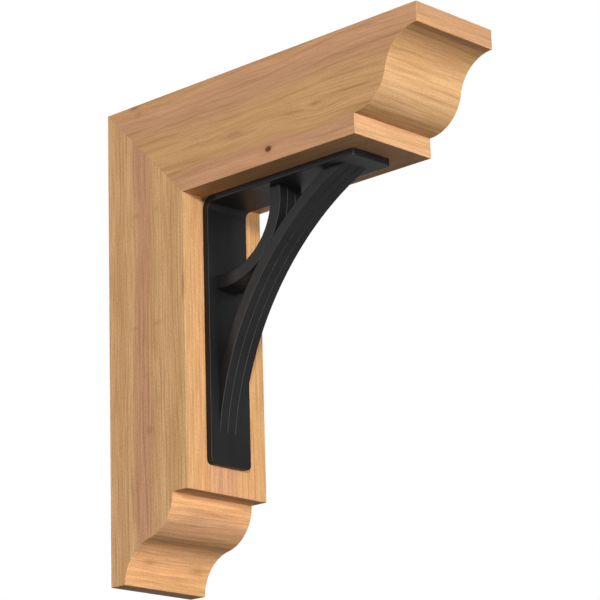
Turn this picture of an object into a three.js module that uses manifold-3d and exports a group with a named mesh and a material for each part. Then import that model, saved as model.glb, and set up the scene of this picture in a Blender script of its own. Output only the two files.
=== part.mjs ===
// A corbel bracket: two square timbers mitred into an L, with an ogee cut on each free end, and a black iron
// angle in the corner that carries two curved braces, each made of three bars side by side.
// Millimetres, +Z up. The origin is the centre of the wall face, and the arm reaches out along -Y.

import * as THREE from "three";
import { mergeVertices } from "three/addons/utils/BufferGeometryUtils.js";
import Module from "manifold-3d";

const INCH = 25.4;

// Timbers
const HEIGHT = 18 * INCH; // top of the arm to the foot of the leg
const PROJECTION = 15.5 * INCH; // wall to the tip of the arm
const TIMBER = 4 * INCH; // side of the square section
const TIP_FLAT = 0.75 * INCH; // square face left at the end of each timber
const STEP_FLAT = 0.75 * INCH; // square step behind the ogee
const OGEE_LENGTH = 3 * INCH; // run of the ogee along the timber
const OGEE_ARC_STEPS = 14;

// Iron angle, a flat bar bent once
const IRON_WIDTH = 2 * INCH;
const IRON_THICK = 0.25 * INCH;
const IRON_DROP = 10 * INCH; // length of the upright leg
const IRON_REACH = 7.5 * INCH; // length of the level leg
const BEND_RADIUS = 0.5 * INCH; // on the outside of the bend
const BEND_STEPS = 8;
const END_CORNER_RADIUS = 0.1875 * INCH;
const END_CORNER_STEPS = 6;

// Brace bars, seen from the side. Centres are measured from the corner between the timbers: out from the leg
// and down from the arm. Both ends of an arc run on into the angle, and are trimmed at its faces.
const BAR_SIDES = ["left", "middle", "right"];
const BAR_PITCH = 0.39 * INCH;
const LONG_BRACE = {
  name: "long_brace_bar",
  centreOut: 10.774 * INCH,
  centreDown: 10.032 * INCH,
  hollowRadius: 10.59 * INCH, // of the hollow face, at the front
  thick: 0.4375 * INCH,
  startDegrees: 100,
  endDegrees: 180,
  steps: 32,
};
const COUNTER_BRACE = {
  name: "counter_brace_bar",
  centreOut: 0.63 * INCH,
  centreDown: 0.57 * INCH,
  hollowRadius: 2.4 * INCH, // of the hollow face, towards the corner
  thick: 0.5 * INCH,
  cutBy: LONG_BRACE, // which it leans against, and whose back it is cut to
  startDegrees: -110,
  endDegrees: 20,
  steps: 26,
};

// Eased edges of the ironwork
const ANGLE_EASE = 0.8;
const BAR_EASE = 0.03125 * INCH;
const EASE_STEPS = 2;

const GAP = 0.3; // clearance at the mitre, between the bars and where the bars meet the angle
const WELD = 1e-4; // vertices closer than this are one

const TOP = HEIGHT / 2;
const FOOT = -HEIGHT / 2;
const ARM_UNDERSIDE = TOP - TIMBER;

const CEDAR = new THREE.MeshStandardMaterial({ color: "#b9885c", roughness: 0.6, metalness: 0 });
const BLACK_IRON = new THREE.MeshStandardMaterial({ color: "#222426", roughness: 0.45, metalness: 0.2 });

const wasm = await Module();
wasm.setup();

// Outlines are drawn in side view, with x the distance out from the wall and y the height, and extruded along z.
// This basis stands a side view up in the part's frame.
const SIDE_VIEW = new THREE.Matrix4().makeBasis(
  new THREE.Vector3(0, -1, 0),
  new THREE.Vector3(0, 0, 1),
  new THREE.Vector3(-1, 0, 0),
);

function at(x, y) {
  return new THREE.Vector2(x, y);
}

function arc(centre, radius, startDegrees, endDegrees, steps) {
  const start = THREE.MathUtils.degToRad(startDegrees);
  const end = THREE.MathUtils.degToRad(endDegrees);
  return new THREE.EllipseCurve(centre.x, centre.y, radius, radius, start, end, end < start).getPoints(steps);
}

// Extrudes a side-view outline across the part, with the edges of its two sides eased.
function extrudeAcross(outline, width, ease) {
  const geometry = new THREE.ExtrudeGeometry(new THREE.Shape(outline), {
    depth: width - 2 * ease,
    bevelEnabled: ease > 0,
    bevelThickness: ease,
    bevelSize: ease,
    bevelOffset: -ease,
    bevelSegments: EASE_STEPS,
  });
  geometry.translate(0, 0, ease - width / 2);
  return geometry.applyMatrix4(SIDE_VIEW);
}

function toSolid(geometry) {
  geometry.deleteAttribute("normal");
  geometry.deleteAttribute("uv");
  const merged = mergeVertices(geometry, WELD);
  return new wasm.Manifold(
    new wasm.Mesh({
      numProp: 3,
      vertProperties: new Float32Array(merged.attributes.position.array),
      triVerts: new Uint32Array(merged.index.array),
    }),
  );
}

function toGeometry(solid) {
  const mesh = solid.getMesh();
  const geometry = new THREE.BufferGeometry();
  geometry.setAttribute("position", new THREE.BufferAttribute(mesh.vertProperties, mesh.numProp));
  geometry.setIndex(new THREE.BufferAttribute(mesh.triVerts, 1));
  geometry.computeVertexNormals();
  return geometry;
}

// The ogee as pairs of distance back from the tip and depth below the timber's plain face: a cove and then an
// ovolo of the same radius, which leave the flats along the timber and meet halfway.
function ogee() {
  const halfRun = OGEE_LENGTH / 2;
  const halfDepth = (TIMBER - TIP_FLAT - STEP_FLAT) / 2;
  const radius = (halfRun ** 2 + halfDepth ** 2) / (2 * halfDepth);
  const sweep = Math.acos(1 - halfDepth / radius);
  const cove = [];
  for (let i = 0; i <= OGEE_ARC_STEPS; i += 1) {
    const turn = (sweep * i) / OGEE_ARC_STEPS;
    cove.push({ back: radius * Math.sin(turn), depth: TIP_FLAT + radius * (1 - Math.cos(turn)) });
  }
  const deepest = TIP_FLAT + 2 * halfDepth;
  const ovolo = cove
    .slice(0, -1)
    .reverse()
    .map(({ back, depth }) => ({ back: OGEE_LENGTH - back, depth: deepest + TIP_FLAT - depth }));
  return [...cove, ...ovolo];
}

function horizontalArm() {
  const outline = [
    at(GAP, TOP),
    at(PROJECTION, TOP),
    ...ogee().map(({ back, depth }) => at(PROJECTION - back, TOP - depth)),
    at(PROJECTION - OGEE_LENGTH, ARM_UNDERSIDE),
    at(TIMBER + GAP, ARM_UNDERSIDE),
  ];
  return extrudeAcross(outline, TIMBER, 0);
}

function verticalLeg() {
  const outline = [
    at(0, TOP),
    at(0, FOOT),
    ...ogee().map(({ back, depth }) => at(depth, FOOT + back)),
    at(TIMBER, FOOT + OGEE_LENGTH),
    at(TIMBER, ARM_UNDERSIDE),
  ];
  return extrudeAcross(outline, TIMBER, 0);
}

// A flat bar in plan, x across and y along it from the heel, with both corners of its free end rounded.
function roundedBar(length, depth) {
  const half = IRON_WIDTH / 2;
  const inset = half - END_CORNER_RADIUS;
  const shoulder = length - END_CORNER_RADIUS;
  const outline = [
    at(-half, 0),
    at(half, 0),
    ...arc(at(inset, shoulder), END_CORNER_RADIUS, 0, 90, END_CORNER_STEPS),
    ...arc(at(-inset, shoulder), END_CORNER_RADIUS, 90, 180, END_CORNER_STEPS),
  ];
  return new THREE.ExtrudeGeometry(new THREE.Shape(outline), { depth, bevelEnabled: false });
}

// The angle is the bent bar of the side view, kept where it lies inside the plans of both its legs.
function ironAngle() {
  const bend = at(TIMBER + BEND_RADIUS, ARM_UNDERSIDE - BEND_RADIUS);
  const bent = [
    at(TIMBER + IRON_THICK, ARM_UNDERSIDE - IRON_DROP),
    ...arc(bend, BEND_RADIUS - IRON_THICK, 180, 90, BEND_STEPS),
    at(TIMBER + IRON_REACH, ARM_UNDERSIDE - IRON_THICK),
    at(TIMBER + IRON_REACH, ARM_UNDERSIDE),
    ...arc(bend, BEND_RADIUS, 90, 180, BEND_STEPS),
    at(TIMBER, ARM_UNDERSIDE - IRON_DROP),
  ];
  const acrossPart = new THREE.Vector3(1, 0, 0);
  const down = new THREE.Vector3(0, 0, -1);
  const out = new THREE.Vector3(0, -1, 0);
  const uprightPlan = roundedBar(IRON_DROP + GAP, IRON_REACH + 2 * GAP)
    .applyMatrix4(new THREE.Matrix4().makeBasis(acrossPart, down, out.clone().negate()))
    .translate(0, -TIMBER - IRON_REACH - GAP, ARM_UNDERSIDE + GAP);
  const levelPlan = roundedBar(IRON_REACH + GAP, IRON_DROP + 2 * GAP)
    .applyMatrix4(new THREE.Matrix4().makeBasis(acrossPart, out, down))
    .translate(0, -TIMBER + GAP, ARM_UNDERSIDE + GAP);
  const angle = toSolid(extrudeAcross(bent, IRON_WIDTH, ANGLE_EASE))
    .intersect(toSolid(uprightPlan))
    .intersect(toSolid(levelPlan));
  return toGeometry(angle);
}

function braceCentre(brace) {
  return at(TIMBER + brace.centreOut, ARM_UNDERSIDE - brace.centreDown);
}

// One bar of a brace, between two arcs about one centre, trimmed just clear of the angle's faces.
function braceBar(brace, middle) {
  const centre = braceCentre(brace);
  const outline = [
    ...arc(centre, brace.hollowRadius, brace.startDegrees, brace.endDegrees, brace.steps),
    ...arc(centre, brace.hollowRadius + brace.thick, brace.endDegrees, brace.startDegrees, brace.steps),
  ];
  const space = new THREE.BoxGeometry(IRON_WIDTH, IRON_DROP, IRON_DROP).translate(
    0,
    -TIMBER - IRON_THICK - GAP - IRON_DROP / 2,
    ARM_UNDERSIDE - IRON_THICK - GAP - IRON_DROP / 2,
  );
  const bar = toSolid(extrudeAcross(outline, BAR_PITCH - GAP, BAR_EASE)).intersect(toSolid(space));
  return toGeometry(brace.cutBy ? bar.subtract(backOf(brace.cutBy)) : bar).translate(middle, 0, 0);
}

// All that lies on the hollow side of a brace's back, and a gap beyond it, as wide as the angle.
function backOf(brace) {
  const reach = brace.hollowRadius + brace.thick + GAP;
  const outline = arc(braceCentre(brace), reach, brace.startDegrees, brace.endDegrees, brace.steps);
  return toSolid(extrudeAcross([...outline, braceCentre(brace)], IRON_WIDTH, 0));
}

function named(name, geometry, material) {
  const mesh = new THREE.Mesh(geometry, material.clone());
  mesh.name = name;
  return mesh;
}

function brace(shape) {
  const group = new THREE.Group();
  BAR_SIDES.forEach((side, index) => {
    const middle = (index - (BAR_SIDES.length - 1) / 2) * BAR_PITCH;
    group.add(named(`${shape.name}_${side}`, braceBar(shape, middle), BLACK_IRON));
  });
  return group;
}

const part = new THREE.Group();
part.add(named("horizontal_arm", horizontalArm(), CEDAR));
part.add(named("vertical_leg", verticalLeg(), CEDAR));
part.add(named("iron_angle", ironAngle(), BLACK_IRON));
part.add(brace(LONG_BRACE));
part.add(brace(COUNTER_BRACE));

export default part;
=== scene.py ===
# A corbel bracket of two mitred cedar timbers and black ironwork, dressed for its picture.
# Metres, +Z up. The wall face is the plane y = 0, and the arm reaches out along -Y.
import math

import bmesh
import bpy
from mathutils import Matrix, Vector


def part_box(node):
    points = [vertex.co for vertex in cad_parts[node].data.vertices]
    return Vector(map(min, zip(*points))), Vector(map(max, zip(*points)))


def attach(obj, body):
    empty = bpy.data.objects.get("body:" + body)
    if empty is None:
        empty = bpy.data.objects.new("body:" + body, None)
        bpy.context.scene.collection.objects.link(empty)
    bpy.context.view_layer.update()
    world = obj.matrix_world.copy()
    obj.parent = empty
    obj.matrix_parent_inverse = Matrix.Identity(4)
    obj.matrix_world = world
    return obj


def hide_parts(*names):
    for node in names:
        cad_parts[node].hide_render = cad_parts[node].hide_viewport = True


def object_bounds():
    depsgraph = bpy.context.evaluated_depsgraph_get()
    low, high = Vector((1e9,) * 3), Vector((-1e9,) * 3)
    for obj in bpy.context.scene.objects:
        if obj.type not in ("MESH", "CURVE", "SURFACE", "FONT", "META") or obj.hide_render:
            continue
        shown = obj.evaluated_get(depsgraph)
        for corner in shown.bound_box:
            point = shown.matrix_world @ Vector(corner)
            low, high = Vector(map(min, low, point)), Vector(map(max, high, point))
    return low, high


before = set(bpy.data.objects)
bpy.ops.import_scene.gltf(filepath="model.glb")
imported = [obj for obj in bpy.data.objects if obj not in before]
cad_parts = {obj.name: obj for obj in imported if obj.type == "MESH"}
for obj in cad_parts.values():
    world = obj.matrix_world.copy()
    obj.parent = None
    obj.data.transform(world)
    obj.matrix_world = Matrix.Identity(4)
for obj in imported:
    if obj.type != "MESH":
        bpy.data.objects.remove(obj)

cad_low, cad_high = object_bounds()

INCH = 0.0254
BODY = "root"

# Timbers
leg_low, leg_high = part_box("vertical_leg")
arm_low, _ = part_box("horizontal_arm")
TIMBER = leg_high.x - leg_low.x
HALF_TIMBER = TIMBER / 2
TOP = leg_high.z
FOOT = leg_low.z
PROJECTION = -arm_low.y
ARM_UNDERSIDE = TOP - TIMBER
TIP_FLAT = 0.75 * INCH
STEP_FLAT = 0.75 * INCH
OGEE_LENGTH = 3 * INCH
OGEE_ARC_STEPS = 26
TIMBER_EASE = 0.0006
TIMBER_EASE_STEPS = 2

# Ogee, a cove and an ovolo of one radius that meet halfway
OGEE_HALF_RUN = OGEE_LENGTH / 2
OGEE_HALF_DEPTH = (TIMBER - TIP_FLAT - STEP_FLAT) / 2
OGEE_RADIUS = (OGEE_HALF_RUN**2 + OGEE_HALF_DEPTH**2) / (2 * OGEE_HALF_DEPTH)
OGEE_SWEEP = math.acos(1 - OGEE_HALF_DEPTH / OGEE_RADIUS)
OGEE_DEEPEST = TIP_FLAT + 2 * OGEE_HALF_DEPTH
PROFILE_SPAN = TIP_FLAT + 2 * OGEE_RADIUS * OGEE_SWEEP + STEP_FLAT

# Iron angle
iron_low, iron_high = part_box("iron_angle")
IRON_WIDTH = iron_high.x - iron_low.x
IRON_DROP = iron_high.z - iron_low.z
IRON_REACH = iron_high.y - iron_low.y
IRON_THICK = 0.25 * INCH
BEND_RADIUS = 0.5 * INCH
BEND_STEPS = 14
END_CORNER_RADIUS = 0.1875 * INCH
END_CORNER_STEPS = 10
ANGLE_EASE = 0.0008
BACK_EASE = 0.0001
EASE_STEPS = 4

# Brace bars, with centres measured out from the leg and down from the arm
BAR_SIDES = ("left", "middle", "right")
BAR_EASE = 0.03125 * INCH
LONG_BRACE = {
    "name": "long_brace_bar",
    "centre_out": 10.774 * INCH,
    "centre_down": 10.032 * INCH,
    "hollow_radius": 10.59 * INCH,
    "thick": 0.4375 * INCH,
    "leans_on": None,
    "faces_corner": False,
    "steps": 72,
}
COUNTER_BRACE = {
    "name": "counter_brace_bar",
    "centre_out": 0.63 * INCH,
    "centre_down": 0.57 * INCH,
    "hollow_radius": 2.4 * INCH,
    "thick": 0.5 * INCH,
    "leans_on": LONG_BRACE,
    "faces_corner": True,
    "steps": 44,
}

SHARP_ANGLE = math.radians(50)

# Faces of a timber, told apart in the grain coordinates so that each has its own figure
FACE_NUMBER = {"left": 0, "right": 1, "outer": 2, "inner": 3, "profile": 4, "mitre": 5}
FACE_STEP = 7.3  # cells of noise from one face to the next
FACE_FADE = 0.2  # a spot is gone well before the next face's number


def place(across, out, height):
    """A point of the side view, at a distance across the part, in the frame."""
    return Vector((across, -out, height))


def srgb(red, green, blue):
    """A colour given as it looks on a screen, from 0 to 255, as the shader's linear colour."""
    linear = []
    for level in (red, green, blue):
        share = level / 255
        linear.append(share / 12.92 if share <= 0.04045 else ((share + 0.055) / 1.055) ** 2.4)
    return (*linear, 1.0)


# Node helpers

def add_node(tree, kind, **settings):
    node = tree.nodes.new(kind)
    for key, value in settings.items():
        setattr(node, key, value)
    return node


def feed(tree, socket, value):
    """Links an output to a socket, or sets the socket's own value."""
    if isinstance(value, bpy.types.NodeSocket):
        tree.links.new(value, socket)
    else:
        socket.default_value = value


def maths(tree, operation, *values, clamp=False):
    node = add_node(tree, "ShaderNodeMath", operation=operation, use_clamp=clamp)
    for socket, value in zip(node.inputs, values):
        feed(tree, socket, value)
    return node.outputs["Value"]


def span(tree, value, from_low, from_high, to_low, to_high):
    """Maps a value smoothly from one range to another."""
    node = add_node(tree, "ShaderNodeMapRange", interpolation_type="SMOOTHSTEP")
    for name, amount in (
        ("Value", value),
        ("From Min", from_low),
        ("From Max", from_high),
        ("To Min", to_low),
        ("To Max", to_high),
    ):
        feed(tree, node.inputs[name], amount)
    return node.outputs["Result"]


def noise(tree, vector, detail=2.0, roughness=0.5, scale=1.0):
    node = add_node(tree, "ShaderNodeTexNoise", noise_dimensions="3D")
    feed(tree, node.inputs["Vector"], vector)
    node.inputs["Scale"].default_value = scale
    node.inputs["Detail"].default_value = detail
    node.inputs["Roughness"].default_value = roughness
    return node.outputs[0]


def mix_colour(tree, amount, first, second, blend="MIX"):
    node = add_node(tree, "ShaderNodeMix", data_type="RGBA", blend_type=blend)
    factor_socket, first_socket, second_socket = node.inputs[0], node.inputs[6], node.inputs[7]
    feed(tree, factor_socket, amount)
    feed(tree, first_socket, first)
    feed(tree, second_socket, second)
    return node.outputs[2]


def shaded(tree, colour, amount):
    """A colour made lighter or darker."""
    node = add_node(tree, "ShaderNodeVectorMath", operation="SCALE")
    feed(tree, node.inputs[0], colour)
    feed(tree, node.inputs["Scale"], amount)
    return node.outputs["Vector"]


def colour_ramp(tree, factor, stops, interpolation="EASE"):
    node = add_node(tree, "ShaderNodeValToRGB")
    elements = node.color_ramp.elements
    node.color_ramp.interpolation = interpolation
    while len(elements) < len(stops):
        elements.new(1.0)
    for element, (position, colour) in zip(elements, stops):
        element.position = position
        element.color = colour
    feed(tree, node.inputs["Fac"], factor)
    return node.outputs["Color"]


def new_material(name):
    material = bpy.data.materials.new(name)
    material.use_nodes = True
    tree = material.node_tree
    return material, tree, tree.nodes["Principled BSDF"]


# Cedar

GOLDEN = srgb(198, 154, 106)
PALE_GOLDEN = srgb(208, 165, 117)
OLIVE = srgb(190, 148, 98)
TAN = srgb(195, 149, 104)
BLUSH = srgb(191, 144, 107)
SALMON = srgb(199, 150, 112)
AMBER = srgb(203, 154, 106)
RUSSET = srgb(187, 144, 106)
CREAM = srgb(206, 164, 117)
APRICOT = srgb(219, 166, 117)
SAND = srgb(204, 160, 118)
LATE_WOOD = srgb(196, 176, 150)
STREAK_DARK = srgb(214, 203, 187)
KNOT_BROWN = srgb(92, 52, 30)
KNOT_HALO = srgb(168, 112, 76)
SMUDGE_BROWN = srgb(148, 98, 64)

ARM_SIDE = {
    "bands": (
        (0.00, TAN),
        (0.08, SALMON),
        (0.26, BLUSH),
        (0.40, TAN),
        (0.50, GOLDEN),
        (0.68, GOLDEN),
        (0.76, OLIVE),
        (0.82, BLUSH),
        (1.00, SALMON),
    ),
    "span": TIMBER,
    "wander": 0.011,
    "ring_pitch": 0.009,
    "ring_depth": 0.5,
    "streaks": 0.68,
    "fine": 0.45,
}
ARM_FACE = {
    "bands": (
        (0.00, GOLDEN),
        (0.30, TAN),
        (0.50, BLUSH),
        (0.70, TAN),
        (1.00, GOLDEN),
    ),
    "span": TIMBER,
    "wander": 0.008,
    "ring_pitch": 0.007,
    "ring_depth": 0.4,
    "streaks": 0.5,
    "fine": 0.4,
}
ARM_PROFILE = {
    "bands": (
        (0.00, RUSSET),
        (0.11, RUSSET),
        (0.15, AMBER),
        (0.24, TAN),
        (0.36, GOLDEN),
        (0.50, CREAM),
        (0.62, CREAM),
        (0.76, GOLDEN),
        (0.85, TAN),
        (0.90, SAND),
        (1.00, SAND),
    ),
    "span": PROFILE_SPAN,
    "wander": 0.004,
    "ring_pitch": 0.0065,
    "ring_depth": 0.5,
    "streaks": 0.65,
    "fine": 0.5,
}
LEG_SIDE = {
    "bands": (
        (0.00, PALE_GOLDEN),
        (0.16, GOLDEN),
        (0.30, PALE_GOLDEN),
        (0.37, BLUSH),
        (0.51, BLUSH),
        (0.59, GOLDEN),
        (0.70, PALE_GOLDEN),
        (0.86, GOLDEN),
        (1.00, PALE_GOLDEN),
    ),
    "span": TIMBER,
    "wander": 0.005,
    "ring_pitch": 0.0052,
    "ring_depth": 0.8,
    "streaks": 0.36,
    "fine": 0.75,
}
LEG_FACE = {
    "bands": (
        (0.00, GOLDEN),
        (0.22, AMBER),
        (0.42, SALMON),
        (0.58, BLUSH),
        (0.72, AMBER),
        (1.00, GOLDEN),
    ),
    "span": TIMBER,
    "wander": 0.006,
    "ring_pitch": 0.0060,
    "ring_depth": 0.7,
    "streaks": 0.46,
    "fine": 0.7,
}
LEG_PROFILE = {
    "bands": (
        (0.00, TAN),
        (0.12, AMBER),
        (0.20, APRICOT),
        (0.40, APRICOT),
        (0.52, AMBER),
        (0.64, SALMON),
        (0.76, APRICOT),
        (0.88, APRICOT),
        (1.00, SALMON),
    ),
    "span": PROFILE_SPAN,
    "wander": 0.007,
    "ring_pitch": 0.0075,
    "ring_depth": 0.7,
    "streaks": 0.6,
    "fine": 0.6,
}

# Knots, eyes and smudges on the left sides: places along the grain and across it, half sizes and strength.
# The grain sweeps round a knot or an eye, and an eye has no colour of its own.
ARM_KNOTS = (
    (8.36 * INCH, 3.49 * INCH, 0.0042, 0.0030, 1.0),
)
ARM_EYES = (
    (6.64 * INCH, 2.52 * INCH, 0.0130, 0.0040, 1.7),
    (10.69 * INCH, 2.40 * INCH, 0.0110, 0.0040, 1.7),
)
LEG_KNOTS = (
    (12.55 * INCH, 2.11 * INCH, 0.0050, 0.0045, 0.22),
)
ARM_SMUDGES = (
    (1.47 * INCH, 0.07 * INCH, 0.0060, 0.0024, 0.8),
    (1.70 * INCH, 0.38 * INCH, 0.0050, 0.0032, 0.4),
    (6.64 * INCH, 2.52 * INCH, 0.0120, 0.0020, 0.45),
    (7.10 * INCH, 2.64 * INCH, 0.0200, 0.0012, 0.4),
    (10.69 * INCH, 2.40 * INCH, 0.0085, 0.0019, 0.6),
    (12.60 * INCH, 2.30 * INCH, 0.0300, 0.0012, 0.45),
    (3.00 * INCH, 3.18 * INCH, 0.0300, 0.0011, 0.35),
    (10.20 * INCH, 3.32 * INCH, 0.0350, 0.0011, 0.35),
)
LEG_SMUDGES = (
    (4.33 * INCH, 1.51 * INCH, 0.0020, 0.0050, 0.35),
    (4.30 * INCH, 2.57 * INCH, 0.0020, 0.0040, 0.3),
    (8.64 * INCH, 2.59 * INCH, 0.0022, 0.0045, 0.35),
    (8.63 * INCH, 1.39 * INCH, 0.0020, 0.0050, 0.3),
    (10.49 * INCH, 2.00 * INCH, 0.0020, 0.0055, 0.3),
    (7.60 * INCH, 3.92 * INCH, 0.0130, 0.0022, 0.5),
)

# The same on the leg's cut end, across the part and along its profile from the tip
LEG_END_SMUDGES = (
    (0.95 * INCH, 1.70 * INCH, 0.0080, 0.0034, 0.5),
    (3.35 * INCH, 1.62 * INCH, 0.0090, 0.0040, 0.5),
    (1.60 * INCH, 2.20 * INCH, 0.0180, 0.0022, 0.3),
    (2.60 * INCH, 1.25 * INCH, 0.0160, 0.0018, 0.25),
)


# Noises of the figure: cells a metre along the grain and across it, detail and roughness
DRIFT = (5.0, 9.0, 1.0, 0.5)
RIPPLE = (28.0, 40.0, 1.0, 0.5)
UNEVEN_RINGS = (2.2, 34.0, 2.0, 0.5)
RING_STRENGTH = (6.0, 60.0, 2.0, 0.5)
STREAKS = (7.0, 190.0, 4.0, 0.6)
FINE_STREAKS = (20.0, 560.0, 3.0, 0.65)
FIBRES = (90.0, 2600.0, 2.0, 0.5)
PATCHES = (9.0, 32.0, 3.0, 0.5)
SPECKLE = (420.0, 800.0, 2.0, 0.5)

# How far each noise goes: as a swing about the middle, or over the range of it that darkens
DRIFT_SWING = 2.0
RIPPLE_SWING = 0.25
RING_SWING = 3.4
PATCH_SWING = 0.34
FINE_SWING = 0.5
SPECKLE_SWING = 0.75
STREAK_RANGE = (0.46, 0.74)
FINE_RANGE = (0.40, 0.70)
FIBRE_RANGE = (0.35, 0.75)
FINE_DEPTH = 0.6
FIBRE_DEPTH = 0.22

# Growth rings
RING_RISE = 6.0
RING_EDGE_START = 0.92
RING_STRENGTH_RANGE = (0.35, 0.68)
RING_FAINTEST = 0.15
RING_STRONGEST = 1.3

# Knots: reach of the sweep round them, its strength, and the size and depth of the halo
SWEEP_ALONG = 4
SWEEP_ACROSS = 3
SWEEP_STRENGTH = -0.4
HALO_ALONG = 2.2
HALO_ACROSS = 1.7
HALO_DEPTH = 0.5
HEART_RANGE = (0.15, 0.75)

# Surface of the wood
LINE_RELIEF = 0.5
FINE_RELIEF = 0.6
FIBRE_RELIEF = 0.5
WOOD_BUMP_STRENGTH = 0.35
WOOD_BUMP_DEPTH = 0.00012
WOOD_SMOOTHEST = 0.52
WOOD_ROUGHEST = 0.66
WOOD_SPECULAR = 0.15
MIDDLE_OF_NOISE = (0.3, 0.7)


def falloff(tree, grain, along, across, half_along, half_across, face="left"):
    """A soft spot on one face, 1 at its middle."""
    offset = add_node(tree, "ShaderNodeVectorMath", operation="SUBTRACT")
    feed(tree, offset.inputs[0], grain)
    offset.inputs[1].default_value = (along, across, FACE_NUMBER[face])
    scaled = add_node(tree, "ShaderNodeVectorMath", operation="DIVIDE")
    feed(tree, scaled.inputs[0], offset.outputs["Vector"])
    scaled.inputs[1].default_value = (half_along, half_across, FACE_FADE)
    squared = add_node(tree, "ShaderNodeVectorMath", operation="DOT_PRODUCT")
    feed(tree, squared.inputs[0], scaled.outputs["Vector"])
    feed(tree, squared.inputs[1], scaled.outputs["Vector"])
    return maths(tree, "EXPONENT", maths(tree, "MULTIPLY", squared.outputs["Value"], -1.0))


def stretched(tree, along, across, face, along_scale, across_scale):
    """Grain coordinates scaled for a noise, so many cells a metre along the grain and across it."""
    node = add_node(tree, "ShaderNodeCombineXYZ")
    feed(tree, node.inputs["X"], maths(tree, "MULTIPLY", along, along_scale))
    feed(tree, node.inputs["Y"], maths(tree, "MULTIPLY", across, across_scale))
    feed(tree, node.inputs["Z"], maths(tree, "MULTIPLY", face, FACE_STEP))
    return node.outputs["Vector"]


def grain_noise(tree, along, across, face, figure):
    along_scale, across_scale, detail, roughness = figure
    vector = stretched(tree, along, across, face, along_scale, across_scale)
    return noise(tree, vector, detail, roughness)


def centred(tree, value, depth):
    """A noise of 0 to 1 as a swing of so much about zero."""
    return maths(tree, "MULTIPLY", maths(tree, "SUBTRACT", value, 0.5), depth)


def wandering_across(tree, grain, along, across, face, wander, knots):
    """The place across the grain, after the grain's drift and its sweep round the knots."""
    drift = grain_noise(tree, along, across, face, DRIFT)
    ripple = grain_noise(tree, along, across, face, RIPPLE)
    moved = maths(tree, "ADD", across, centred(tree, drift, DRIFT_SWING * wander))
    moved = maths(tree, "ADD", moved, centred(tree, ripple, RIPPLE_SWING * wander))
    for knot_along, knot_across, half_along, half_across, strength in knots:
        reach_along, reach_across = SWEEP_ALONG * half_along, SWEEP_ACROSS * half_across
        near = falloff(tree, grain, knot_along, knot_across, reach_along, reach_across)
        aside = maths(tree, "SUBTRACT", across, knot_across)
        push = maths(tree, "MULTIPLY", maths(tree, "MULTIPLY", near, aside), SWEEP_STRENGTH * strength)
        moved = maths(tree, "ADD", moved, push)
    return moved


def growth_lines(tree, along, moved, face, pitch):
    """Late wood: each ring darkens slowly, and ends at once. 0 in early wood, 1 at a ring's edge."""
    uneven = grain_noise(tree, along, moved, face, UNEVEN_RINGS)
    even_count = maths(tree, "MULTIPLY", moved, 1 / pitch)
    within = maths(tree, "FRACT", maths(tree, "ADD", even_count, centred(tree, uneven, RING_SWING)))
    rise = maths(tree, "POWER", within, RING_RISE)
    edge = span(tree, within, RING_EDGE_START, 1.0, 1.0, 0.0)
    line = maths(tree, "MULTIPLY", rise, edge)
    varied = grain_noise(tree, along, moved, face, RING_STRENGTH)
    strength = span(tree, varied, *RING_STRENGTH_RANGE, RING_FAINTEST, RING_STRONGEST)
    return maths(tree, "MULTIPLY", line, strength)


def grain_place(tree):
    """The grain coordinates of a point, whole and as the place along, the place across and the face."""
    attribute = add_node(tree, "ShaderNodeAttribute", attribute_type="GEOMETRY", attribute_name="grain")
    parts = add_node(tree, "ShaderNodeSeparateXYZ")
    feed(tree, parts.inputs["Vector"], attribute.outputs["Vector"])
    return attribute.outputs["Vector"], parts.outputs["X"], parts.outputs["Y"], parts.outputs["Z"]


def with_smudges(tree, colour, grain, smudges, face):
    for along, across, half_along, half_across, strength in smudges:
        near = falloff(tree, grain, along, across, half_along, half_across, face)
        colour = mix_colour(tree, maths(tree, "MULTIPLY", near, strength), colour, SMUDGE_BROWN)
    return colour


def with_knots(tree, colour, grain, knots):
    for along, across, half_along, half_across, strength in knots:
        halo = falloff(tree, grain, along, across, HALO_ALONG * half_along, HALO_ACROSS * half_across)
        spot = falloff(tree, grain, along, across, half_along, half_across)
        heart = span(tree, spot, *HEART_RANGE, 0.0, 1.0)
        colour = mix_colour(tree, maths(tree, "MULTIPLY", halo, HALO_DEPTH * strength), colour, KNOT_HALO)
        colour = mix_colour(tree, maths(tree, "MULTIPLY", heart, strength), colour, KNOT_BROWN)
    return colour


def bumped(tree, height, strength, depth):
    """A normal from a height."""
    bump = add_node(tree, "ShaderNodeBump")
    bump.inputs["Strength"].default_value = strength
    bump.inputs["Distance"].default_value = depth
    feed(tree, bump.inputs["Height"], height)
    return bump.outputs["Normal"]


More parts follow.
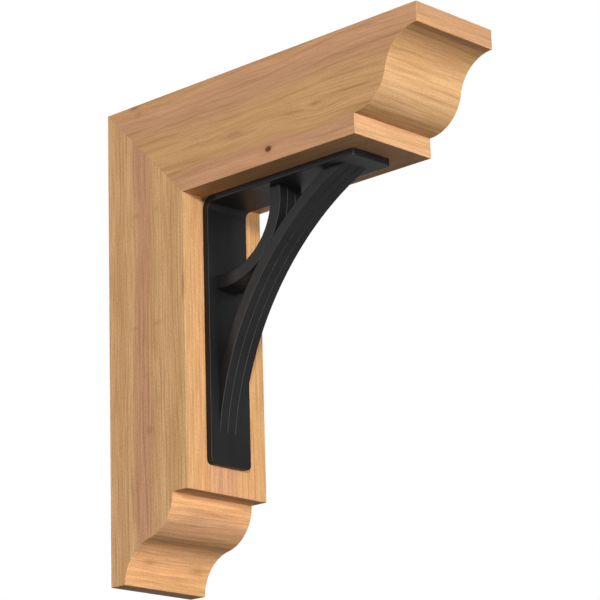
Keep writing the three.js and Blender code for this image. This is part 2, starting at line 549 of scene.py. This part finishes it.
def cedar(name, looks, knots=(), smudges=(), eyes=(), spots_on="left"):
    material, tree, shader = new_material(name)
    grain, along, across, face = grain_place(tree)
    moved = wandering_across(tree, grain, along, across, face, looks["wander"], (*knots, *eyes))
    lines = growth_lines(tree, along, moved, face, looks["ring_pitch"])
    streaks = grain_noise(tree, along, moved, face, STREAKS)
    fine = grain_noise(tree, along, moved, face, FINE_STREAKS)
    fibres = grain_noise(tree, along, moved, face, FIBRES)
    patches = grain_noise(tree, along, moved, face, PATCHES)
    speckle = grain_noise(tree, along, moved, face, SPECKLE)

    share = maths(tree, "DIVIDE", moved, looks["span"])
    share = maths(tree, "ADD", share, centred(tree, patches, PATCH_SWING))
    colour = colour_ramp(tree, share, looks["bands"])
    late = maths(tree, "MULTIPLY", lines, looks["ring_depth"])
    colour = mix_colour(tree, late, colour, LATE_WOOD, "MULTIPLY")
    for pattern, (low, high), depth in (
        (streaks, STREAK_RANGE, looks["streaks"]),
        (fine, FINE_RANGE, FINE_DEPTH * looks["fine"]),
        (fibres, FIBRE_RANGE, FIBRE_DEPTH),
    ):
        dark = span(tree, pattern, low, high, 0.0, depth)
        colour = mix_colour(tree, dark, colour, STREAK_DARK, "MULTIPLY")
    texture = maths(tree, "ADD", centred(tree, fine, FINE_SWING), centred(tree, speckle, SPECKLE_SWING))
    shade = maths(tree, "SUBTRACT", 1.0, maths(tree, "MULTIPLY", texture, looks["fine"]))
    colour = shaded(tree, colour, shade)
    colour = with_smudges(tree, colour, grain, smudges, spots_on)
    colour = with_knots(tree, colour, grain, knots)

    line_height = maths(tree, "MULTIPLY", lines, LINE_RELIEF)
    height = maths(tree, "ADD", line_height, maths(tree, "MULTIPLY", fine, FINE_RELIEF))
    height = maths(tree, "ADD", height, maths(tree, "MULTIPLY", fibres, FIBRE_RELIEF))
    roughness = span(tree, streaks, *MIDDLE_OF_NOISE, WOOD_SMOOTHEST, WOOD_ROUGHEST)
    feed(tree, shader.inputs["Base Color"], colour)
    feed(tree, shader.inputs["Roughness"], roughness)
    feed(tree, shader.inputs["Normal"], bumped(tree, height, WOOD_BUMP_STRENGTH, WOOD_BUMP_DEPTH))
    shader.inputs["Specular IOR Level"].default_value = WOOD_SPECULAR
    return material


# Black iron

IRON_DARK = srgb(20, 20, 20)
IRON_LIGHT = srgb(26, 26, 26)
IRON_CLOUD_SCALE = 22.0
IRON_GRIT_SCALE = 900.0
IRON_PEEL_SCALE = 260.0
CLOUD_TONE = 0.6
GRIT_TONE = 0.4
PEEL_RELIEF = 0.7
GRIT_RELIEF = 0.3
IRON_TONE_RANGE = (0.35, 0.65)
IRON_BUMP_STRENGTH = 0.25
IRON_BUMP_DEPTH = 0.0001
IRON_SMOOTHEST = 0.42
IRON_ROUGHEST = 0.50
IRON_SPECULAR = 0.2


def black_iron(name):
    material, tree, shader = new_material(name)
    coordinates = add_node(tree, "ShaderNodeTexCoord").outputs["Object"]
    cloud = noise(tree, coordinates, detail=3.0, scale=IRON_CLOUD_SCALE)
    grit = noise(tree, coordinates, detail=2.0, scale=IRON_GRIT_SCALE)
    peel = noise(tree, coordinates, detail=1.0, scale=IRON_PEEL_SCALE)
    cloud_tone = maths(tree, "MULTIPLY", cloud, CLOUD_TONE)
    tone = maths(tree, "ADD", cloud_tone, maths(tree, "MULTIPLY", grit, GRIT_TONE))
    low, high = IRON_TONE_RANGE
    colour = colour_ramp(tree, tone, ((low, IRON_DARK), (high, IRON_LIGHT)))
    peel_height = maths(tree, "MULTIPLY", peel, PEEL_RELIEF)
    height = maths(tree, "ADD", peel_height, maths(tree, "MULTIPLY", grit, GRIT_RELIEF))
    roughness = span(tree, cloud, *MIDDLE_OF_NOISE, IRON_SMOOTHEST, IRON_ROUGHEST)
    feed(tree, shader.inputs["Base Color"], colour)
    feed(tree, shader.inputs["Roughness"], roughness)
    feed(tree, shader.inputs["Normal"], bumped(tree, height, IRON_BUMP_STRENGTH, IRON_BUMP_DEPTH))
    shader.inputs["Specular IOR Level"].default_value = IRON_SPECULAR
    return material


# Meshes

def finish_piece(name, bm, materials, nodes):
    """Makes a piece of a mesh under construction, shades it, and hangs it on the frame."""
    bmesh.ops.recalc_face_normals(bm, faces=bm.faces)
    mesh = bpy.data.meshes.new(name)
    bm.to_mesh(mesh)
    bm.free()
    mesh.shade_smooth()
    mesh.set_sharp_from_angle(angle=SHARP_ANGLE)
    for material in materials:
        mesh.materials.append(material)
    piece = bpy.data.objects.new(name, mesh)
    bpy.context.scene.collection.objects.link(piece)
    weighted = piece.modifiers.new("weighted_normals", "WEIGHTED_NORMAL")
    weighted.keep_sharp = True
    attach(piece, BODY)
    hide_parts(*nodes)
    return piece


def ogee():
    """Pairs of distance back from the tip and depth below the plain face."""
    cove = []
    for i in range(OGEE_ARC_STEPS + 1):
        turn = OGEE_SWEEP * i / OGEE_ARC_STEPS
        cove.append((OGEE_RADIUS * math.sin(turn), TIP_FLAT + OGEE_RADIUS * (1 - math.cos(turn))))
    ovolo = []
    for back, depth in reversed(cove[:-1]):
        ovolo.append((OGEE_LENGTH - back, TIP_FLAT + OGEE_DEEPEST - depth))
    return cove + ovolo


def profile_length(back, depth):
    """Distance along the cut end, over its flat, cove, ovolo and step, of a point on it."""
    arc = OGEE_RADIUS * OGEE_SWEEP
    if depth <= TIP_FLAT:
        return depth
    if depth >= OGEE_DEEPEST:
        return TIP_FLAT + 2 * arc + depth - OGEE_DEEPEST
    if depth < TIP_FLAT + OGEE_HALF_DEPTH:
        return TIP_FLAT + OGEE_RADIUS * math.atan2(back, TIP_FLAT + OGEE_RADIUS - depth)
    left = math.atan2(OGEE_LENGTH - back, depth - OGEE_DEEPEST + OGEE_RADIUS)
    return TIP_FLAT + 2 * arc - OGEE_RADIUS * left


def arm_outline():
    """Points out from the wall and up, each with the face that starts there."""
    points = [((0.0, TOP), "outer"), ((PROJECTION, TOP), "profile")]
    for back, depth in ogee():
        points.append(((PROJECTION - back, TOP - depth), "profile"))
    points.append(((PROJECTION - OGEE_LENGTH, ARM_UNDERSIDE), "inner"))
    points.append(((TIMBER, ARM_UNDERSIDE), "mitre"))
    return points


def leg_outline():
    points = [((0.0, TOP), "outer"), ((0.0, FOOT), "profile")]
    for back, depth in ogee():
        points.append(((depth, FOOT + back), "profile"))
    points.append(((TIMBER, FOOT + OGEE_LENGTH), "inner"))
    points.append(((TIMBER, ARM_UNDERSIDE), "mitre"))
    return points


def arm_grain(point, face):
    out, below, sideways = -point.y, TOP - point.z, point.x + HALF_TIMBER
    if face == "profile":
        return sideways, profile_length(PROJECTION - out, below)
    return (out, below) if face in ("left", "right") else (out, sideways)


def leg_grain(point, face):
    out, below, sideways = -point.y, TOP - point.z, point.x + HALF_TIMBER
    if face == "profile":
        return sideways, profile_length(point.z - FOOT, out)
    return (below, out) if face in ("left", "right") else (below, sideways)


def material_index(face):
    """Sides, plain faces and the cut end have a material each."""
    if face in ("left", "right"):
        return 0
    return 2 if face == "profile" else 1


def ease_timber(bm, faces_of):
    """Takes the sharpness off the outside edges, apart from those of the mitre."""
    mitre = FACE_NUMBER["mitre"]
    edges = []
    for edge in bm.edges:
        sharp = edge.is_convex and edge.calc_face_angle(0.0) > SHARP_ANGLE
        if sharp and all(face[faces_of] != mitre for face in edge.link_faces):
            edges.append(edge)
    bmesh.ops.bevel(
        bm,
        geom=edges,
        offset=TIMBER_EASE,
        offset_type="OFFSET",
        segments=TIMBER_EASE_STEPS,
        profile=0.5,
        affect="EDGES",
        clamp_overlap=True,
    )


def timber(name, outline, grain_of, materials):
    bm = bmesh.new()
    faces_of = bm.faces.layers.int.new("face_number")
    grain_layer = bm.loops.layers.float_vector.new("grain")
    left = [bm.verts.new(place(-HALF_TIMBER, *point)) for point, _ in outline]
    right = [bm.verts.new(place(HALF_TIMBER, *point)) for point, _ in outline]
    bm.faces.new(left)[faces_of] = FACE_NUMBER["left"]
    bm.faces.new(list(reversed(right)))[faces_of] = FACE_NUMBER["right"]
    for i, (_, face_name) in enumerate(outline):
        j = (i + 1) % len(outline)
        face = bm.faces.new((left[j], left[i], right[i], right[j]))
        face[faces_of] = FACE_NUMBER[face_name]
    bmesh.ops.recalc_face_normals(bm, faces=bm.faces)
    ease_timber(bm, faces_of)
    names = {number: face_name for face_name, number in FACE_NUMBER.items()}
    for face in bm.faces:
        number = face[faces_of]
        face.material_index = material_index(names[number])
        for loop in face.loops:
            loop[grain_layer] = Vector((*grain_of(loop.vert.co, names[number]), number))
    return finish_piece(name, bm, materials, [name])


def rounded_rectangle(half_width, low, high, low_radius, high_radius):
    """A section, anticlockwise, as pairs of distance across and depth."""
    corners = (
        (half_width - low_radius, low + low_radius, low_radius, -90),
        (half_width - high_radius, high - high_radius, high_radius, 0),
        (-half_width + high_radius, high - high_radius, high_radius, 90),
        (-half_width + low_radius, low + low_radius, low_radius, 180),
    )
    points = []
    for middle_across, middle_depth, radius, start in corners:
        for i in range(EASE_STEPS + 1):
            turn = math.radians(start + 90 * i / EASE_STEPS)
            points.append((middle_across + radius * math.cos(turn), middle_depth + radius * math.sin(turn)))
    return points


def loft(sections):
    """A closed mesh through sections of the same count of points."""
    bm = bmesh.new()
    rings = [[bm.verts.new(point) for point in section] for section in sections]
    count = len(rings[0])
    for first, second in zip(rings, rings[1:]):
        for i in range(count):
            j = (i + 1) % count
            bm.faces.new((first[i], first[j], second[j], second[i]))
    bm.faces.new(list(reversed(rings[0])))
    bm.faces.new(rings[-1])
    return bm


def round_inset(distance, radius):
    """How far a rounded end draws in, at a distance from that end."""
    if distance >= radius:
        return 0.0
    return radius - math.sqrt(radius**2 - (radius - distance) ** 2)


BEND_LENGTH = BEND_RADIUS * math.pi / 2
UPRIGHT_RUN = IRON_DROP - BEND_RADIUS
LEVEL_RUN = IRON_REACH - BEND_RADIUS
BAR_LENGTH = UPRIGHT_RUN + BEND_LENGTH + LEVEL_RUN


def on_angle(across, distance, depth):
    """A point of the flat bar, after the bend: distance from its low end, and depth from its back face."""
    if distance <= UPRIGHT_RUN:
        return place(across, TIMBER + depth, ARM_UNDERSIDE - IRON_DROP + distance)
    if distance >= UPRIGHT_RUN + BEND_LENGTH:
        past = distance - UPRIGHT_RUN - BEND_LENGTH
        return place(across, TIMBER + BEND_RADIUS + past, ARM_UNDERSIDE - depth)
    turn = (distance - UPRIGHT_RUN) / BEND_RADIUS
    radius = BEND_RADIUS - depth
    out = TIMBER + BEND_RADIUS - radius * math.cos(turn)
    return place(across, out, ARM_UNDERSIDE - BEND_RADIUS + radius * math.sin(turn))


def angle_stations():
    """Distances along the flat bar, close together at its rounded ends and through the bend."""
    ends = []
    for i in range(END_CORNER_STEPS + 1):
        ends.append(END_CORNER_RADIUS * (1 - math.cos(math.pi / 2 * i / END_CORNER_STEPS)))
    bend = [UPRIGHT_RUN + BEND_LENGTH * i / BEND_STEPS for i in range(BEND_STEPS + 1)]
    return ends + bend + [BAR_LENGTH - distance for distance in reversed(ends)]


def iron_angle(material):
    sections = []
    for distance in angle_stations():
        from_end = min(distance, BAR_LENGTH - distance)
        eased = round_inset(from_end, ANGLE_EASE)
        half_width = IRON_WIDTH / 2 - round_inset(from_end, END_CORNER_RADIUS) - eased
        radius = max(ANGLE_EASE - eased, BACK_EASE)
        outline = rounded_rectangle(half_width, 0.0, IRON_THICK - eased, BACK_EASE, radius)
        sections.append([on_angle(across, distance, depth) for across, depth in outline])
    return finish_piece("iron_angle", loft(sections), [material], ["iron_angle"])


def brace_turns(brace, radius):
    """The angles at which a circle of the brace meets the level leg and the upright leg of the angle."""
    level = math.asin((brace["centre_down"] - IRON_THICK) / radius)
    upright = math.acos((IRON_THICK - brace["centre_out"]) / radius)
    if brace["faces_corner"]:
        return level, -upright
    return math.pi - level, upright


def thickness_at(brace, share):
    """A brace's thickness part of the way along it, thinner where it is cut to the back of another."""
    other = brace["leans_on"]
    if other is None:
        return brace["thick"]
    start, end = brace_turns(brace, brace["hollow_radius"])
    turn = start + (end - start) * share
    away_out = other["centre_out"] - brace["centre_out"]
    away_down = other["centre_down"] - brace["centre_down"]
    along = away_out * math.cos(turn) - away_down * math.sin(turn)
    aside_squared = away_out**2 + away_down**2 - along**2
    back_radius = other["hollow_radius"] + other["thick"]
    if aside_squared >= back_radius**2:
        return brace["thick"]
    free = along - math.sqrt(back_radius**2 - aside_squared) - brace["hollow_radius"]
    return min(brace["thick"], free)


def brace_bar(brace, node, material):
    low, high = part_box(node)
    middle = (low.x + high.x) / 2
    half_width = (high.x - low.x) / 2
    sections = []
    for step in range(brace["steps"] + 1):
        share = step / brace["steps"]
        thick = thickness_at(brace, share)
        section = []
        for across, depth in rounded_rectangle(half_width, 0.0, thick, BAR_EASE, BAR_EASE):
            radius = brace["hollow_radius"] + depth
            start, end = brace_turns(brace, radius)
            turn = start + (end - start) * share
            out = TIMBER + brace["centre_out"] + radius * math.cos(turn)
            height = ARM_UNDERSIDE - brace["centre_down"] + radius * math.sin(turn)
            section.append(place(middle + across, out, height))
        sections.append(section)
    return finish_piece(node, loft(sections), [material], [node])


# Studio

CENTRE = (cad_low + cad_high) / 2
FLOOR_HEIGHT = -1.7
FLOOR_SIZE = 14.0
FLOOR_GREY = srgb(231, 230, 228)
FLOOR_PALE = srgb(234, 233, 231)
FLOOR_MOTTLE_SCALE = 2.0
FLOOR_ROUGHNESS = 0.8
AMBIENT = 0.06  # brightness of the surround as light
REFLECTED = 0.52  # and as seen in a shiny surface

# Name, azimuth and elevation in degrees, distance, side, exposure of a surface that faces the light, and
# whether it gives light, shine or both
LIGHTS = (
    ("key", -42, 8, 9.0, 1.0, 0.86, "light and shine"),
    ("low_key", -42, -25, 2.5, 0.2, 0.14, "light and shine"),
    ("edge_glint", -44, -12, 6.0, 0.8, 0.70, "shine"),
    ("low_edge_glint", -44, -40, 2.2, 0.3, 0.70, "shine"),
    ("front_fill", 5, -4, 9.0, 1.8, 0.70, "light"),
    ("left_rim", -124, 4, 9.0, 2.0, 0.27, "light and shine"),
    ("overhead", 180, 84, 9.0, 4.0, 0.66, "light and shine"),
    ("back_fill", 150, 15, 9.0, 4.0, 0.80, "light and shine"),
)

CAMERA_PLACE = Vector((-1.720311, -1.815899, -0.675076))
CAMERA_AZIMUTH = -46.7687
CAMERA_ELEVATION = -16.2072
CAMERA_ROLL = 1.5857
CAMERA_LENS_MM = 163.564
CAMERA_SENSOR_MM = 36.0


def towards(azimuth, elevation):
    """The direction from the object to a place round it, with azimuth 0 straight out from the wall."""
    a, e = math.radians(azimuth), math.radians(elevation)
    return Vector((math.sin(a) * math.cos(e), -math.cos(a) * math.cos(e), math.sin(e)))


def softbox(name, azimuth, elevation, distance, side, exposure, gives):
    direction = towards(azimuth, elevation)
    light = bpy.data.lights.new(name, "AREA")
    light.shape = "SQUARE"
    light.size = side
    light.energy = exposure * math.pi**2 * distance**2
    lamp = bpy.data.objects.new(name, light)
    lamp.visible_diffuse = "light" in gives
    lamp.visible_glossy = "shine" in gives
    lamp.location = CENTRE + direction * distance
    lamp.rotation_mode = "QUATERNION"
    lamp.rotation_quaternion = direction.to_track_quat("Z", "Y")
    bpy.context.scene.collection.objects.link(lamp)
    return lamp


def studio_world():
    """White behind the object, greyer where it is reflected, and a soft even light on it."""
    world = bpy.data.worlds.new("studio")
    world.use_nodes = True
    tree = world.node_tree
    path = add_node(tree, "ShaderNodeLightPath")
    backdrop = tree.nodes["Background"]
    backdrop.inputs["Color"].default_value = (1.0, 1.0, 1.0, 1.0)
    glossy = maths(tree, "MULTIPLY", path.outputs["Is Glossy Ray"], REFLECTED - AMBIENT)
    seen = maths(tree, "MULTIPLY", path.outputs["Is Camera Ray"], 1.0 - AMBIENT)
    strength = maths(tree, "ADD", maths(tree, "ADD", glossy, seen), AMBIENT)
    feed(tree, backdrop.inputs["Strength"], strength)
    bpy.context.scene.world = world


def floor():
    material, tree, shader = new_material("pale_floor")
    coordinates = add_node(tree, "ShaderNodeTexCoord").outputs["Object"]
    mottle = noise(tree, coordinates, detail=3.0, scale=FLOOR_MOTTLE_SCALE)
    low, high = MIDDLE_OF_NOISE
    colour = colour_ramp(tree, mottle, ((low, FLOOR_GREY), (high, FLOOR_PALE)))
    feed(tree, shader.inputs["Base Color"], colour)
    shader.inputs["Roughness"].default_value = FLOOR_ROUGHNESS
    mesh = bpy.data.meshes.new("floor")
    half = FLOOR_SIZE / 2
    corners = [(-half, -half, FLOOR_HEIGHT), (half, -half, FLOOR_HEIGHT)]
    corners += [(half, half, FLOOR_HEIGHT), (-half, half, FLOOR_HEIGHT)]
    mesh.from_pydata(corners, [], [(0, 1, 2, 3)])
    mesh.materials.append(material)
    ground = bpy.data.objects.new("floor", mesh)
    ground.visible_diffuse = False
    ground.visible_glossy = False
    bpy.context.scene.collection.objects.link(ground)


def camera():
    back = towards(CAMERA_AZIMUTH, CAMERA_ELEVATION)
    level_right = Vector((0, 0, 1)).cross(back).normalized()
    level_up = back.cross(level_right)
    roll = math.radians(CAMERA_ROLL)
    right = level_right * math.cos(roll) - level_up * math.sin(roll)
    up = level_up * math.cos(roll) + level_right * math.sin(roll)
    data = bpy.data.cameras.new("camera")
    data.lens = CAMERA_LENS_MM
    data.sensor_width = CAMERA_SENSOR_MM
    viewer = bpy.data.objects.new("camera", data)
    turn = Matrix((right, up, back)).transposed()
    viewer.matrix_world = Matrix.Translation(CAMERA_PLACE) @ turn.to_4x4()
    bpy.context.scene.collection.objects.link(viewer)
    bpy.context.scene.camera = viewer


def build():
    arm_materials = [
        cedar("cedar_arm_side", ARM_SIDE, ARM_KNOTS, ARM_SMUDGES, ARM_EYES),
        cedar("cedar_arm_face", ARM_FACE),
        cedar("cedar_arm_profile", ARM_PROFILE),
    ]
    leg_materials = [
        cedar("cedar_leg_side", LEG_SIDE, LEG_KNOTS, LEG_SMUDGES),
        cedar("cedar_leg_face", LEG_FACE),
        cedar("cedar_leg_profile", LEG_PROFILE, smudges=LEG_END_SMUDGES, spots_on="profile"),
    ]
    timber("horizontal_arm", arm_outline(), arm_grain, arm_materials)
    timber("vertical_leg", leg_outline(), leg_grain, leg_materials)
    iron = black_iron("black_iron")
    iron_angle(iron)
    for brace in (LONG_BRACE, COUNTER_BRACE):
        for side in BAR_SIDES:
            brace_bar(brace, f"{brace['name']}_{side}", iron)


build()
camera()
floor()
studio_world()
for light in LIGHTS:
    softbox(*light)
bpy.context.scene.view_settings.view_transform = "Standard"
